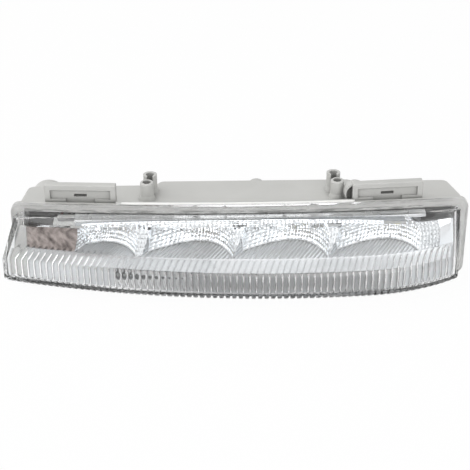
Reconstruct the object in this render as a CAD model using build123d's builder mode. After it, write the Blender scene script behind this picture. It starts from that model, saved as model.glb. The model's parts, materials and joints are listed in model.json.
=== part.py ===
from build123d import *
import os
from collections import namedtuple
from math import asin, cos, radians, sin, sqrt

os.makedirs("parts", exist_ok=True)

# Daytime running light, millimetres.
# Datum: midway between the two screw bosses, on their top faces.
# X runs along the lamp, Y to the rear, Z up along the boss holes.

# Screw bosses and the slotted posts behind them
boss_spacing = 98.5
boss_d = 7.0
boss_foot_d = 9.0
boss_hole_d = 4.2
boss_hole_depth = 9.0
boss_height = 10.0
boss_rim_r = 0.6
post_inward = 1.3
post_back = 9.0
post_d = 7.2
post_bore_d = 4.2
post_slot = 2.8
post_bore_depth = 8.0
post_slot_depth = 5.0
foot_cone_h = 3.0
web_t = 2.2
web_drop = 5.0

# Heights
top_z = -boss_height
wall = 2.0
rim_proud = 2.5
rim_w = 4.0
rim_top_z = top_z + rim_proud
lens_top_z = rim_top_z - rim_w
edge_z = lens_top_z - 2.5
fold_z = edge_z - 20.0
lens_bottom_z = fold_z - 14.0
rim_bottom_z = lens_bottom_z - rim_w
housing_bottom_z = rim_bottom_z + rim_proud

# Rim, bowed in plan
rim_left_x = -119.3
rim_right_x = 116.7
rim_corner_r = 5.0
rim_nose_x = -2.0
rim_rear_y = -10.4
rim_bow_r = 1200.0
housing_flange_t = 1.8
lens_flange_t = 2.0
lip_left_x = -65.0
lip_right_x = 56.5
lip_h = 1.0
groove_w = 1.6
groove_depth = 1.0
groove_inset = 1.2

# Lens: plan curves at its three folds, each a main arc and a tighter arc at the outer end
Level = namedtuple("Level", "nose_x nose_y main_r shoulder_x shoulder_r left_x right_x")
face = Level(21.0, -40.6, 490.0, 66.0, 100.0, -124.5, 111.5)
edge = Level(-5.0, -24.2, 800.0, 68.0, 240.0, -117.6, 112.0)
roof = Level(-15.0, -18.0, 1900.0, 68.0, 480.0, -117.3, 112.0)
lens_wall = 2.5
bevel = 2.2
flute_count = 70
flute_h = 0.7
flute_top_z = fold_z + 6.0
flute_lean = 2.0
flute_root = 1.0

# Reflector: four half paraboloids turned towards the outer side, lit from above
cell_pitch = 48.3
cell_yaw = 25.0
focal = 6.6
led_first_x = -65.9
led_y = -14.1
reflector_t = 1.6
reflector_gap = 0.6
floor_z = -28.6
divider_yaw = 28.0
divider_x = -101.9
divider_y = -32.0
cell_starts = (9.5, 0.0, 0.0, 0.0)
reflector_left_x = -110.8
reflector_right_x = 108.2
plate_bottom_z = fold_z
skirt_bottom_z = lens_bottom_z + 4.0
skirt_left_x = -66.0
skirt_right_x = 80.0
shelf_left_x = -84.0
shelf_right_x = 92.0
shelf_front_y = -7.6
shelf_rear_y = 2.0
shelf_t = 2.2
shelf_boss_d = 6.0
shelf_boss_l = 8.0
shelf_screw_y = -2.5
shelf_screw_x = (-40.0, 7.5, 55.0)
bowl_depth = 60.0

# Heat sink, light board and their screws
sink_t = 1.5
sink_gap = 0.5
sink_top_z = lens_top_z - lens_wall - sink_gap
sink_under_z = sink_top_z - sink_t
sink_left_x = -86.0
sink_right_x = 94.0
sink_leg_y = 3.5
sink_leg_bottom_z = -42.0
tape_t = 0.3
board_t = 1.0
board_left_x = -88.0
board_right_x = 83.5
board_front_y = -16.4
board_rear_y = -8.2
tab_left_x = -97.0
tab_front_y = -13.4
sink_front_inset = 2.4
ceiling_z = sink_under_z - tape_t - board_t
led_w = 3.4
led_t = 1.4
led_lens_d = 2.6

# Carrier behind the heat sink, driver board behind the carrier
carrier_t = 2.0
carrier_gap = 0.4
carrier_y = sink_leg_y + sink_t
carrier_rear_y = carrier_y + carrier_t
driver_left_x = -32.0
driver_right_x = 40.0
driver_bottom_z = -42.0
driver_top_z = -16.0
driver_t = 1.6
standoff_h = 2.5
driver_y = carrier_rear_y + standoff_h
parts_y = driver_y + driver_t
carrier_screw_spots = ((-107.0, -15.6), (-107.0, -42.0), (102.0, -15.6), (102.0, -42.0))
carrier_boss_d = 6.4
sink_screw_x = (-60.0, 5.0, 70.0)
sink_screw_z = -38.0
sink_boss_h = 2.0
driver_screw_x = (-28.0, 36.0)
driver_screw_z = -19.5
chip_spot = (-2.0, -28.0)
chip_size = (5.0, 1.5, 4.0)
diode_spot = (-2.0, -36.0)
diode_size = (4.6, 2.3, 2.8)
inductor_spot = (12.0, -30.0)
inductor_w = 10.0
inductor_h = 4.5
inductor_r = 2.5
can_x = (-14.0, 27.0)
can_z = -30.0
can_d = 6.4
can_h = 6.5
wire_hole_x = -93.5
wire_hole_z = -25.0
wire_hole_w = 8.0
wire_hole_h = 6.0

# Housing plan behind the rim
end_left_x = -116.2
end_right_x = 113.8
rear_left_x = -113.2
rear_right_x = 109.5
rear_left_y = 17.2
rear_right_y = 19.6
bay_left_x = -43.0
bay_right_x = 57.0
bay_y = 21.6
bay_slope = 3.5
housing_corner_r = 4.0
housing_edge_r = 1.5
mouth_r = 2.0

# Clip towers: middle x, front y at the middle, turn about Z
tower_l = 36.6
tower_t = 4.2
tower_top_z = 1.5
tower_spots = ((-83.3, -6.3, -3.4), (74.7, -7.0, 4.6))
tower_edge_r = 0.6
window_l = 31.0
window_h = 5.0
window_top_z = -1.4
window_depth = 1.2
notch_l = 15.0
notch_h = 2.3
slot_l = 6.5
slot_h = 1.5
slot_z = -4.6
cup_d = 11.4
cup_wall = 0.9
cup_in = 1.8
cup_z = -4.5
cup_l = 5.0

# Connector turret and vent on the rear
turret_x = -105.2
turret_z = -25.0
turret_d = 18.4
turret_end_y = 36.0
socket_w = 11.0
socket_h = 7.0
socket_depth = 13.0
pin_gap = 5.0
pin_w = 2.3
pin_t = 0.8
pin_recess = 6.0
pin_l = 16.0
pin_well_d = 12.8
pin_well_depth = 6.0
vent_x = 8.0
vent_z = -16.0
vent_d = 10.0
vent_end_y = 25.0
vent_bore_d = 6.4
vent_bore_depth = 2.4
vent_hole_d = 2.0
membrane_t = 0.4
foot_t = 3.0
foot_l = 22.0
foot_y = -8.5
foot_spread = 150.0

# Fasteners and wires
screw_d = 2.4
screw_head_d = 5.0
screw_head_h = 1.6
screw_socket_d = 2.6
screw_socket_depth = 0.9
wire_d = 1.5
wire_bend_r = 2.5


stand = (Align.CENTER, Align.CENTER, Align.MIN)
hang = (Align.CENTER, Align.CENTER, Align.MAX)
front_plane = Plane((0, -60, 0), x_dir=(1, 0, 0), z_dir=(0, -1, 0))
front_reach = 120.0


def rim_y(x, offset=0.0):
    """Rear face of the rim, moved forward by offset."""
    r = rim_bow_r + offset
    return rim_rear_y + rim_bow_r - sqrt(r * r - (x - rim_nose_x) ** 2)


def front_y(lv, inset, x):
    """Front curve of one lens level, moved into the lens by inset."""
    swing = asin((lv.shoulder_x - lv.nose_x) / lv.main_r)
    cx, cy, r = lv.nose_x, lv.nose_y + lv.main_r, lv.main_r - inset
    if x > cx + r * sin(swing):
        cx += (lv.main_r - lv.shoulder_r) * sin(swing)
        cy -= (lv.main_r - lv.shoulder_r) * cos(swing)
        r = lv.shoulder_r - inset
    return cy - sqrt(r * r - (x - cx) ** 2)


def shoulder_x(lv, inset):
    return lv.nose_x + (lv.main_r - inset) * (lv.shoulder_x - lv.nose_x) / lv.main_r


def front_arc(lv, inset, x0, x1):
    xm = (x0 + x1) / 2
    return ThreePointArc(*[(x, front_y(lv, inset, x)) for x in (x0, xm, x1)])


def rim_arc(offset, x0, x1):
    xm = (x0 + x1) / 2
    return ThreePointArc(*[(x, rim_y(x, offset)) for x in (x0, xm, x1)])


def lens_section(lv, z, inset, back):
    """Plan section of the lens body: rim arc, right end, two front arcs, left end."""
    back_l = rim_left_x + rim_w + inset
    back_r = rim_right_x - rim_w - inset
    left = lv.left_x + inset
    right = lv.right_x - inset
    turn = shoulder_x(lv, inset)
    with BuildSketch(Plane.XY.offset(z)) as section:
        with BuildLine():
            rim_arc(back, back_l, back_r)
            Line((back_r, rim_y(back_r, back)), (right, front_y(lv, inset, right)))
            front_arc(lv, inset, turn, right)
            front_arc(lv, inset, left, turn)
            Line((left, front_y(lv, inset, left)), (back_l, rim_y(back_l, back)))
        make_face()
    return section.sketch


def rim_solid(offset, depth, inset, raised=0.0):
    """Rounded front view of the rim, cut from a strip that follows its bow."""
    x0, x1 = rim_left_x - 1, rim_right_x + 1
    with BuildPart() as solid:
        with BuildSketch(Plane.XY.offset(rim_bottom_z - 1)):
            with BuildLine():
                rim_arc(offset, x0, x1)
                Line((x1, rim_y(x1, offset)), (x1, rim_y(x1, offset + depth)))
                rim_arc(offset + depth, x0, x1)
                Line((x0, rim_y(x0, offset + depth)), (x0, rim_y(x0, offset)))
            make_face()
        extrude(amount=rim_top_z - rim_bottom_z + 4)
        with BuildSketch(front_plane):
            with Locations(((rim_left_x + rim_right_x) / 2, (rim_top_z + rim_bottom_z) / 2)):
                RectangleRounded(
                    rim_right_x - rim_left_x - 2 * inset,
                    rim_top_z - rim_bottom_z - 2 * inset,
                    rim_corner_r - inset,
                )
            if raised:
                with Locations(((lip_left_x + lip_right_x) / 2, rim_top_z)):
                    Rectangle(lip_right_x - lip_left_x, 2 * raised)
        extrude(amount=-front_reach, mode=Mode.INTERSECT)
    return solid.part


def flute_point(z, u, depth):
    """Point on the fluted inner wall at height z, u from 0 at the left to 1 at the right."""
    t = max(0.0, (z - fold_z) / (edge_z - fold_z))
    lean = flute_lean * max(0.0, z - fold_z) / (flute_top_z - fold_z)
    spots = []
    for du in (-0.002, 0.002):
        x, y = 0.0, 0.0
        for lv, share in ((face, 1 - t), (edge, t)):
            a = lv.left_x + lens_wall + 2.5
            b = lv.right_x - lens_wall - 2.5 - flute_lean
            xi = a + (u + du) * (b - a) + lean
            x += share * xi
            y += share * front_y(lv, lens_wall, xi)
        spots.append((x, y))
    (x0, y0), (x1, y1) = spots
    run = sqrt((x1 - x0) ** 2 + (y1 - y0) ** 2)
    nx, ny = -(y1 - y0) / run, (x1 - x0) / run
    return ((x0 + x1) / 2 + nx * depth, (y0 + y1) / 2 + ny * depth)


# Lens
void_back = -12.0
with BuildPart() as lens_void:
    loft(
        [
            lens_section(face, lens_bottom_z + lens_wall, lens_wall + 1.5, void_back),
            lens_section(face, lens_bottom_z + lens_wall + 1.5, lens_wall, void_back),
            lens_section(face, fold_z, lens_wall, void_back),
            lens_section(edge, edge_z - 1.8, lens_wall, void_back),
            lens_section(roof, lens_top_z - lens_wall, lens_wall, void_back),
        ],
        ruled=True,
    )

with BuildPart() as flutes:
    for z in (lens_bottom_z + lens_wall - 0.5, fold_z, flute_top_z):
        with BuildSketch(Plane.XY.offset(z)):
            with BuildLine():
                for i in range(flute_count):
                    ThreePointArc(
                        flute_point(z, i / flute_count, 0.0),
                        flute_point(z, (i + 0.5) / flute_count, flute_h),
                        flute_point(z, (i + 1) / flute_count, 0.0),
                    )
                Line(flute_point(z, 1, 0.0), flute_point(z, 1, -flute_root))
                ThreePointArc(*[flute_point(z, u, -flute_root) for u in (1, 0.875, 0.75)])
                ThreePointArc(*[flute_point(z, u, -flute_root) for u in (0.75, 0.375, 0)])
                Line(flute_point(z, 0, -flute_root), flute_point(z, 0, 0.0))
            make_face()
    loft(ruled=True)

lens_back = housing_flange_t + lens_flange_t / 2
with BuildPart() as lens:
    loft(
        [
            lens_section(face, lens_bottom_z, bevel, lens_back),
            lens_section(face, lens_bottom_z + bevel, 0.0, lens_back),
            lens_section(face, fold_z, 0.0, lens_back),
            lens_section(edge, edge_z, 0.0, lens_back),
            lens_section(roof, lens_top_z, 0.0, lens_back),
        ],
        ruled=True,
    )
    add(rim_solid(housing_flange_t, lens_flange_t, 0.0))
    add(lens_void.part, mode=Mode.SUBTRACT)
    add(flutes.part)
lens.part.label = "lens"
export_step(lens.part, "parts/lens.step")

# Sealant bead in the groove of the housing rim
with BuildPart() as sealant:
    add(rim_solid(housing_flange_t - groove_depth, groove_depth, groove_inset))
    add(rim_solid(-1.0, housing_flange_t + 2.0, groove_inset + groove_w), mode=Mode.SUBTRACT)
sealant.part.label = "sealant"
export_step(sealant.part, "parts/sealant.step")


def housing_plan(z, inset, front):
    """Plan of the housing behind the rim, moved inwards by inset."""
    corners = [
        (end_right_x - inset, 4.0),
        (rear_right_x - inset, rear_right_y - inset),
        (bay_right_x + bay_slope - inset, rear_right_y - inset),
        (bay_right_x - inset, bay_y - inset),
        (bay_left_x + inset, bay_y - inset),
        (bay_left_x - bay_slope + inset, rear_left_y - inset),
        (rear_left_x + inset, rear_left_y - inset),
    ]
    right = (end_right_x - inset, rim_y(end_right_x - inset, front))
    left = (end_left_x + inset, rim_y(end_left_x + inset, front))
    with BuildSketch(Plane.XY.offset(z)) as plan:
        with BuildLine():
            rim_arc(front, end_left_x + inset, end_right_x - inset)
            Polyline(right, *corners, left)
        make_face()
    return plan.sketch


def facing_front(spots, y):
    """Locations on a plane facing the front, at (x, z) spots."""
    return [Plane((x, y, z), x_dir=(1, 0, 0), z_dir=(0, -1, 0)).location for x, z in spots]


# Housing
with BuildPart() as housing_void:
    extrude(
        housing_plan(housing_bottom_z + wall, wall, housing_flange_t + 1.0),
        amount=top_z - housing_bottom_z - 2 * wall,
    )

with BuildPart() as turret_core:
    with Locations(*facing_front([(turret_x, turret_z)], turret_end_y)):
        Cylinder(turret_d / 2, turret_end_y - rear_left_y + wall, align=stand)

boss_spots = [(side * boss_spacing / 2, 0) for side in (-1, 1)]
post_spots = [(side * (boss_spacing / 2 - post_inward), post_back) for side in (-1, 1)]

with BuildPart() as housing:
    extrude(
        housing_plan(housing_bottom_z, 0.0, housing_flange_t / 2),
        amount=top_z - housing_bottom_z,
    )
    uprights = housing.edges().filter_by(Axis.Z).filter_by(lambda e: e.center().Y > 10)
    fillet(uprights, housing_corner_r)
    rear_rims = housing.faces().filter_by(Axis.Z).edges().filter_by(lambda e: e.center().Y > 5)
    fillet(rear_rims, housing_edge_r)
    add(turret_core.part)
    with Locations(*facing_front([(vent_x, vent_z)], vent_end_y)):
        Cylinder(vent_d / 2, vent_end_y - bay_y + wall, align=stand)
    with Locations(*[(s * foot_spread / 2, foot_y, rim_bottom_z) for s in (-1, 1)]):
        Box(foot_t, foot_l, rim_proud + wall / 2, align=(Align.CENTER, Align.MIN, Align.MIN))
    add(housing_void.part, mode=Mode.SUBTRACT)
    add(rim_solid(0.0, housing_flange_t, 0.0, lip_h))
    with BuildSketch(front_plane):
        with Locations(((rim_left_x + rim_right_x) / 2, (rim_top_z + rim_bottom_z) / 2)):
            RectangleRounded(
                rim_right_x - rim_left_x - 2 * rim_w - mouth_r,
                rim_top_z - rim_bottom_z - 2 * (rim_proud + wall),
                mouth_r,
            )
    extrude(amount=-front_reach / 2, mode=Mode.SUBTRACT)
    add(sealant.part, mode=Mode.SUBTRACT)
    # screw bosses, slotted posts and the webs between them
    with Locations(*[(x, y, top_z - wall / 2) for x, y in boss_spots]):
        Cylinder(boss_d / 2, -top_z + wall / 2, align=stand)
    with Locations(*[(x, y, top_z) for x, y in boss_spots + post_spots]):
        Cone(boss_foot_d / 2, boss_d / 2, foot_cone_h, align=stand)
    with Locations(*[(x, y, top_z - wall / 2) for x, y in post_spots]):
        Cylinder(post_d / 2, -top_z + wall / 2, align=stand)
    with Locations(*[(x, post_back / 2, top_z) for x, y in post_spots]):
        Box(web_t, post_back, -top_z - web_drop, align=stand)
    with Locations(*[(x, y, 0) for x, y in post_spots]):
        Cylinder(post_bore_d / 2, post_bore_depth, align=hang, mode=Mode.SUBTRACT)
        with Locations((0, -post_d / 4, 0)):
            Box(post_slot, post_d / 2, post_slot_depth, align=hang, mode=Mode.SUBTRACT)
    with Locations(*[(x, y, 0) for x, y in boss_spots]):
        Cylinder(
            boss_hole_d / 2,
            boss_hole_depth,
            align=hang,
            mode=Mode.SUBTRACT,
        )
    boss_rims = housing.edges().filter_by(GeomType.CIRCLE).filter_by(
        lambda e: abs(e.center().Z) < 0.01 and abs(e.radius - boss_d / 2) < 0.01
    )
    fillet(boss_rims, boss_rim_r)
    # clip towers with a window and a slot in the front face
    for x, y, turn in tower_spots:
        with Locations(Location((x, y, 0), (0, 0, turn))):
            with Locations((0, tower_t / 2, top_z - wall / 2)):
                Box(
                    tower_l,
                    tower_t,
                    tower_top_z - top_z + wall / 2,
                    align=stand,
                )
            with Locations((0, 0, window_top_z)):
                Box(
                    window_l,
                    2 * window_depth,
                    window_h,
                    align=hang,
                    mode=Mode.SUBTRACT,
                )
            with Locations((0, 0, window_top_z - window_h)):
                Box(
                    notch_l,
                    2 * window_depth,
                    notch_h,
                    align=hang,
                    mode=Mode.SUBTRACT,
                )
            with Locations((0, tower_t / 2, slot_z)):
                Box(slot_l, 3.0, slot_h, mode=Mode.SUBTRACT)
    tower_rims = housing.faces().filter_by(lambda f: abs(f.center().Z - tower_top_z) < 0.01).edges()
    fillet(tower_rims, tower_edge_r)
    # round cup behind the inner end of the right tower, open in front of that end
    x, y, turn = tower_spots[1]
    cup_spot = Location((cup_in - tower_l / 2, window_depth, cup_z), (90, 0, 0))
    cup_plane = Plane(Location((x, y, 0), (0, 0, turn)) * cup_spot)
    with BuildSketch(cup_plane):
        Circle(cup_d / 2)
    extrude(amount=-cup_l)
    with BuildSketch(cup_plane):
        Circle(cup_d / 2 - cup_wall)
        with Locations((-cup_in, 0)):
            Rectangle(cup_d, cup_d, align=(Align.MAX, Align.CENTER), mode=Mode.INTERSECT)
    extrude(amount=cup_wall - cup_l, mode=Mode.SUBTRACT)
    # carrier bosses inside the rear wall
    for x, z in carrier_screw_spots:
        back = rear_left_y if x < 0 else rear_right_y
        with Locations(*facing_front([(x, z)], carrier_rear_y)):
            Cylinder(
                carrier_boss_d / 2,
                back - wall / 2 - carrier_rear_y,
                align=hang,
            )
            Cylinder(
                screw_d / 2, 7.0, align=hang, mode=Mode.SUBTRACT
            )
    # connector socket, pin slots and the space behind them
    with Locations(*facing_front([(turret_x, turret_z)], turret_end_y)):
        Box(socket_w, socket_h, socket_depth, align=stand, mode=Mode.SUBTRACT)
    with Locations(*facing_front([(turret_x, turret_z)], rear_left_y - wall - 1.0)):
        Cylinder(pin_well_d / 2, pin_well_depth, align=hang, mode=Mode.SUBTRACT)
    pin_spots = [(turret_x + side * pin_gap / 2, turret_z) for side in (-1, 1)]
    with Locations(*facing_front(pin_spots, turret_end_y)):
        Box(pin_w, pin_t, pin_recess + pin_l, align=stand, mode=Mode.SUBTRACT)
    # vent
    with Locations(*facing_front([(vent_x, vent_z)], vent_end_y)):
        Cylinder(
            vent_bore_d / 2,
            vent_bore_depth,
            align=stand,
            mode=Mode.SUBTRACT,
        )
        Cylinder(
            vent_hole_d / 2, 10.0, align=stand, mode=Mode.SUBTRACT
        )
housing.part.label = "housing"
export_step(housing.part, "parts/housing.step")


def screw(length):
    """Pan head screw standing on Z = 0, shank downwards."""
    with BuildPart() as part:
        Cylinder(screw_head_d / 2, screw_head_h, align=stand)
        with BuildSketch(Plane.XY.offset(screw_head_h)):
            RegularPolygon(screw_socket_d / 2, 6)
        extrude(amount=-screw_socket_depth, mode=Mode.SUBTRACT)
        Cylinder(screw_d / 2, length, align=hang)
    return part.part


# Reflector
fwd = Vector(-sin(radians(cell_yaw)), -cos(radians(cell_yaw)), 0)
along = Vector(sin(radians(divider_yaw)), cos(radians(divider_yaw)), 0)
across = Vector(cos(radians(divider_yaw)), -sin(radians(divider_yaw)), 0)
led_spots = [(led_first_x + i * cell_pitch, led_y) for i in range(len(cell_starts))]
first_vertex = Vector(led_first_x, led_y, ceiling_z) - fwd * focal
first_divider = Vector(divider_x, divider_y, 0)


def bowl(grow):
    """Paraboloid of the first cell, its vertex moved back by grow."""
    start = first_vertex - fwd * grow
    rim_r = sqrt(4 * focal * bowl_depth)
    with BuildPart() as solid:
        with BuildSketch(Plane(start, x_dir=fwd, z_dir=(0, 0, 1))):
            with BuildLine():
                Bezier((0, 0), (0, rim_r / 2), (bowl_depth, rim_r))
                Polyline((bowl_depth, rim_r), (bowl_depth, 0), (0, 0))
            make_face()
        revolve(axis=Axis(start, fwd))
    return solid.part


def right_of_divider(offset, z_low, z_high):
    """Space to the right of the first divider plane, moved left by offset."""
    foot = first_divider - across * offset
    with BuildPart() as solid:
        with BuildSketch(Plane((foot.X, foot.Y, z_low), x_dir=across, z_dir=(0, 0, 1))):
            Rectangle(90, 100, align=(Align.MIN, Align.CENTER))
        extrude(amount=z_high - z_low)
    return solid.part


def lens_space(inset):
    """Room behind the sloped lens face, inset from its outer side."""
    with BuildPart() as solid:
        loft(
            [
                lens_section(face, fold_z, inset, -14.0),
                lens_section(edge, edge_z - 1.8, inset, -14.0),
            ],
            ruled=True,
        )
    return solid.part


def cell(grow, start, z_low, z_high):
    """Cell space in the first place, grown by grow, its divider moved right by start."""
    with BuildPart() as solid:
        add(bowl(grow))
        add(right_of_divider(grow - start, z_low, z_high), mode=Mode.INTERSECT)
    return solid.part


front_inset = lens_wall + flute_h + reflector_gap
reflector_mid_x = (reflector_left_x + reflector_right_x) / 2
with BuildPart() as front_plate:
    add(lens_space(front_inset))
    add(lens_space(front_inset + reflector_t), mode=Mode.SUBTRACT)
    with BuildSketch(Plane.XY.offset(plate_bottom_z)):
        with Locations((reflector_mid_x, 0)):
            Rectangle(reflector_right_x - reflector_left_x, 40, align=(Align.CENTER, Align.MAX))
    extrude(amount=ceiling_z - plate_bottom_z, mode=Mode.INTERSECT)

# Both ends of the plate run on down behind the flutes and close the view into the housing
with BuildPart() as skirts:
    extrude(lens_section(face, skirt_bottom_z, front_inset, -14.0), amount=plate_bottom_z - skirt_bottom_z)
    extrude(
        lens_section(face, skirt_bottom_z, front_inset + reflector_t, -14.0),
        amount=plate_bottom_z - skirt_bottom_z,
        mode=Mode.SUBTRACT,
    )
    with BuildSketch(Plane.XY.offset(skirt_bottom_z)):
        for x0, x1 in ((reflector_left_x, skirt_left_x), (skirt_right_x, reflector_right_x)):
            with Locations(((x0 + x1) / 2, 0)):
                Rectangle(x1 - x0, 40, align=(Align.CENTER, Align.MAX))
    extrude(amount=plate_bottom_z - skirt_bottom_z, mode=Mode.INTERSECT)

with BuildPart() as reflector:
    with Locations((reflector_mid_x, -12.0, floor_z)):
        Box(
            reflector_right_x - reflector_left_x,
            30.0,
            reflector_t,
            align=(Align.CENTER, Align.MAX, Align.MAX),
        )
    for i, start in enumerate(cell_starts):
        with Locations((i * cell_pitch, 0, 0)):
            add(cell(reflector_t, start, floor_z - reflector_t, ceiling_z))
    add(lens_space(front_inset), mode=Mode.INTERSECT)
    add(front_plate.part)
    add(skirts.part)
    for i, start in enumerate(cell_starts):
        with Locations((i * cell_pitch, 0, 0)):
            add(cell(0.0, start, floor_z, ceiling_z + 30), mode=Mode.SUBTRACT)
    with Locations(((shelf_left_x + shelf_right_x) / 2, shelf_front_y, sink_under_z)):
        Box(
            shelf_right_x - shelf_left_x,
            shelf_rear_y - shelf_front_y,
            shelf_t,
            align=(Align.CENTER, Align.MIN, Align.MAX),
        )
    with Locations(*[(x, shelf_screw_y, sink_under_z) for x in shelf_screw_x]):
        Cylinder(shelf_boss_d / 2, shelf_boss_l, align=hang)
        Cylinder(
            screw_d / 2, 6.0, align=hang, mode=Mode.SUBTRACT
        )
reflector.part.label = "reflector"
export_step(reflector.part, "parts/reflector.step")

# Heat sink: a shelf over the reflector, folded down behind it
with BuildPart() as heat_sink:
    with BuildSketch(Plane.XY.offset(sink_under_z)):
        with BuildLine():
            turn = shoulder_x(roof, sink_front_inset)
            ends = [(x, front_y(roof, sink_front_inset, x)) for x in (sink_left_x, sink_right_x)]
            front_arc(roof, sink_front_inset, sink_left_x, turn)
            front_arc(roof, sink_front_inset, turn, sink_right_x)
            Polyline(ends[1], (sink_right_x, carrier_y), (sink_left_x, carrier_y), ends[0])
        make_face()
    extrude(amount=sink_t)
    with Locations(((sink_left_x + sink_right_x) / 2, sink_leg_y, sink_top_z)):
        Box(
            sink_right_x - sink_left_x,
            sink_t,
            sink_top_z - sink_leg_bottom_z,
            align=(Align.CENTER, Align.MIN, Align.MAX),
        )
    bend = heat_sink.edges().filter_by(Axis.X).filter_by(lambda e: e.center().Y > 3)
    fillet(bend.sort_by(Axis.Y)[-2:].sort_by(Axis.Z)[-1], sink_t)
    fillet(heat_sink.edges().filter_by(Axis.Y).filter_by(lambda e: e.center().Z < -40), 3.0)
    with Locations(*[(x, shelf_screw_y, sink_under_z) for x in shelf_screw_x]):
        Cylinder(screw_d / 2, 6.0, mode=Mode.SUBTRACT)
    with Locations(*facing_front([(x, sink_screw_z) for x in sink_screw_x], sink_leg_y)):
        Cylinder(screw_d / 2, 6.0, mode=Mode.SUBTRACT)
heat_sink.part.label = "heat_sink"
export_step(heat_sink.part, "parts/heat_sink.step")

# Thermal tape and light board under the shelf
with BuildPart() as thermal_tape:
    with Locations((sink_left_x + 0.5, board_front_y + 0.2, sink_under_z)):
        Box(
            board_right_x - sink_left_x - 1.0,
            board_rear_y - board_front_y - 0.4,
            tape_t,
            align=(Align.MIN, Align.MIN, Align.MAX),
        )
thermal_tape.part.label = "thermal_tape"
export_step(thermal_tape.part, "parts/thermal_tape.step")

with BuildPart() as led_board:
    with BuildSketch(Plane.XY.offset(ceiling_z)):
        with BuildLine():
            Polyline(
                (tab_left_x, board_rear_y),
                (board_right_x, board_rear_y),
                (board_right_x, board_front_y),
                (board_left_x, board_front_y),
                (board_left_x, tab_front_y),
                (tab_left_x, tab_front_y),
                close=True,
            )
        make_face()
    extrude(amount=board_t)
led_board.part.label = "led_board"
export_step(led_board.part, "parts/led_board.step")

for i, (x, y) in enumerate(led_spots):
    with BuildPart() as led:
        with Locations((x, y, ceiling_z)):
            Box(led_w, led_w, led_t / 2, align=hang)
        with Locations((x, y, ceiling_z - led_t / 2)):
            Cone(
                led_lens_d / 2 - 0.5,
                led_lens_d / 2,
                led_t / 2,
                align=hang,
            )
    led.part.label = f"led_{i + 1}"
    export_step(led.part, f"parts/led_{i + 1}.step")

# Carrier
slab_h = top_z - housing_bottom_z - 2 * (wall + carrier_gap)
driver_screw_spots = [(x, driver_screw_z) for x in driver_screw_x]
sink_screw_spots = [(x, sink_screw_z) for x in sink_screw_x]
with BuildPart() as carrier:
    extrude(
        housing_plan(housing_bottom_z + wall + carrier_gap, wall + carrier_gap, 0.0),
        amount=slab_h,
    )
    with Locations((0, carrier_y, (top_z + housing_bottom_z) / 2)):
        Box(300, carrier_t, 100, align=(Align.CENTER, Align.MIN, Align.CENTER), mode=Mode.INTERSECT)
    with Locations(*facing_front(driver_screw_spots, carrier_rear_y)):
        Cylinder(screw_head_d / 2, standoff_h, align=hang)
    with Locations(*facing_front(sink_screw_spots, carrier_rear_y)):
        Cylinder(screw_head_d / 2, sink_boss_h, align=hang)
    with Locations(*facing_front([*carrier_screw_spots, *driver_screw_spots, *sink_screw_spots], carrier_y)):
        Cylinder(screw_d / 2, 20.0, mode=Mode.SUBTRACT)
    with Locations(*facing_front([(wire_hole_x, wire_hole_z)], carrier_y)):
        Box(wire_hole_w, wire_hole_h, 20.0, mode=Mode.SUBTRACT)
carrier.part.label = "carrier"
export_step(carrier.part, "parts/carrier.step")

# Driver board and its parts
with BuildPart() as driver_board:
    with Locations((driver_left_x, driver_y, driver_bottom_z)):
        Box(
            driver_right_x - driver_left_x,
            driver_t,
            driver_top_z - driver_bottom_z,
            align=(Align.MIN, Align.MIN, Align.MIN),
        )
    fillet(driver_board.edges().filter_by(Axis.Y), 2.0)
    with Locations(*facing_front(driver_screw_spots, driver_y)):
        Cylinder(screw_d / 2, 20.0, mode=Mode.SUBTRACT)
driver_board.part.label = "driver_board"
export_step(driver_board.part, "parts/driver_board.step")

with BuildPart() as driver_chip:
    with Locations((chip_spot[0], parts_y, chip_spot[1])):
        Box(*chip_size, align=(Align.CENTER, Align.MIN, Align.CENTER))
driver_chip.part.label = "driver_chip"
export_step(driver_chip.part, "parts/driver_chip.step")

with BuildPart() as inductor:
    with Locations((inductor_spot[0], parts_y, inductor_spot[1])):
        Box(inductor_w, inductor_h, inductor_w, align=(Align.CENTER, Align.MIN, Align.CENTER))
    fillet(inductor.edges().filter_by(Axis.Y), inductor_r)
inductor.part.label = "inductor"
export_step(inductor.part, "parts/inductor.step")

for i, x in enumerate(can_x):
    with BuildPart() as capacitor:
        with Locations(*facing_front([(x, can_z)], parts_y)):
            Cylinder(can_d / 2, can_h, align=hang)
    capacitor.part.label = f"capacitor_{i + 1}"
    export_step(capacitor.part, f"parts/capacitor_{i + 1}.step")

with BuildPart() as diode:
    with Locations((diode_spot[0], parts_y, diode_spot[1])):
        Box(*diode_size, align=(Align.CENTER, Align.MIN, Align.CENTER))
diode.part.label = "diode"
export_step(diode.part, "parts/diode.step")

# Connector pins
pin_front_y = turret_end_y - pin_recess - pin_l
pin_rear_y = turret_end_y - pin_recess
for i, side in enumerate((-1, 1)):
    with BuildPart() as pin:
        with Locations((turret_x + side * pin_gap / 2, pin_front_y, turret_z)):
            Box(pin_w, pin_rear_y - pin_front_y, pin_t, align=(Align.CENTER, Align.MIN, Align.CENTER))
    pin.part.label = f"pin_{i + 1}"
    export_step(pin.part, f"parts/pin_{i + 1}.step")

# Vent membrane at the bottom of its bore
with BuildPart() as vent_membrane:
    with Locations(*facing_front([(vent_x, vent_z)], vent_end_y - vent_bore_depth)):
        Cylinder(vent_bore_d / 2, membrane_t, align=hang)
vent_membrane.part.label = "vent_membrane"
export_step(vent_membrane.part, "parts/vent_membrane.step")

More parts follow.
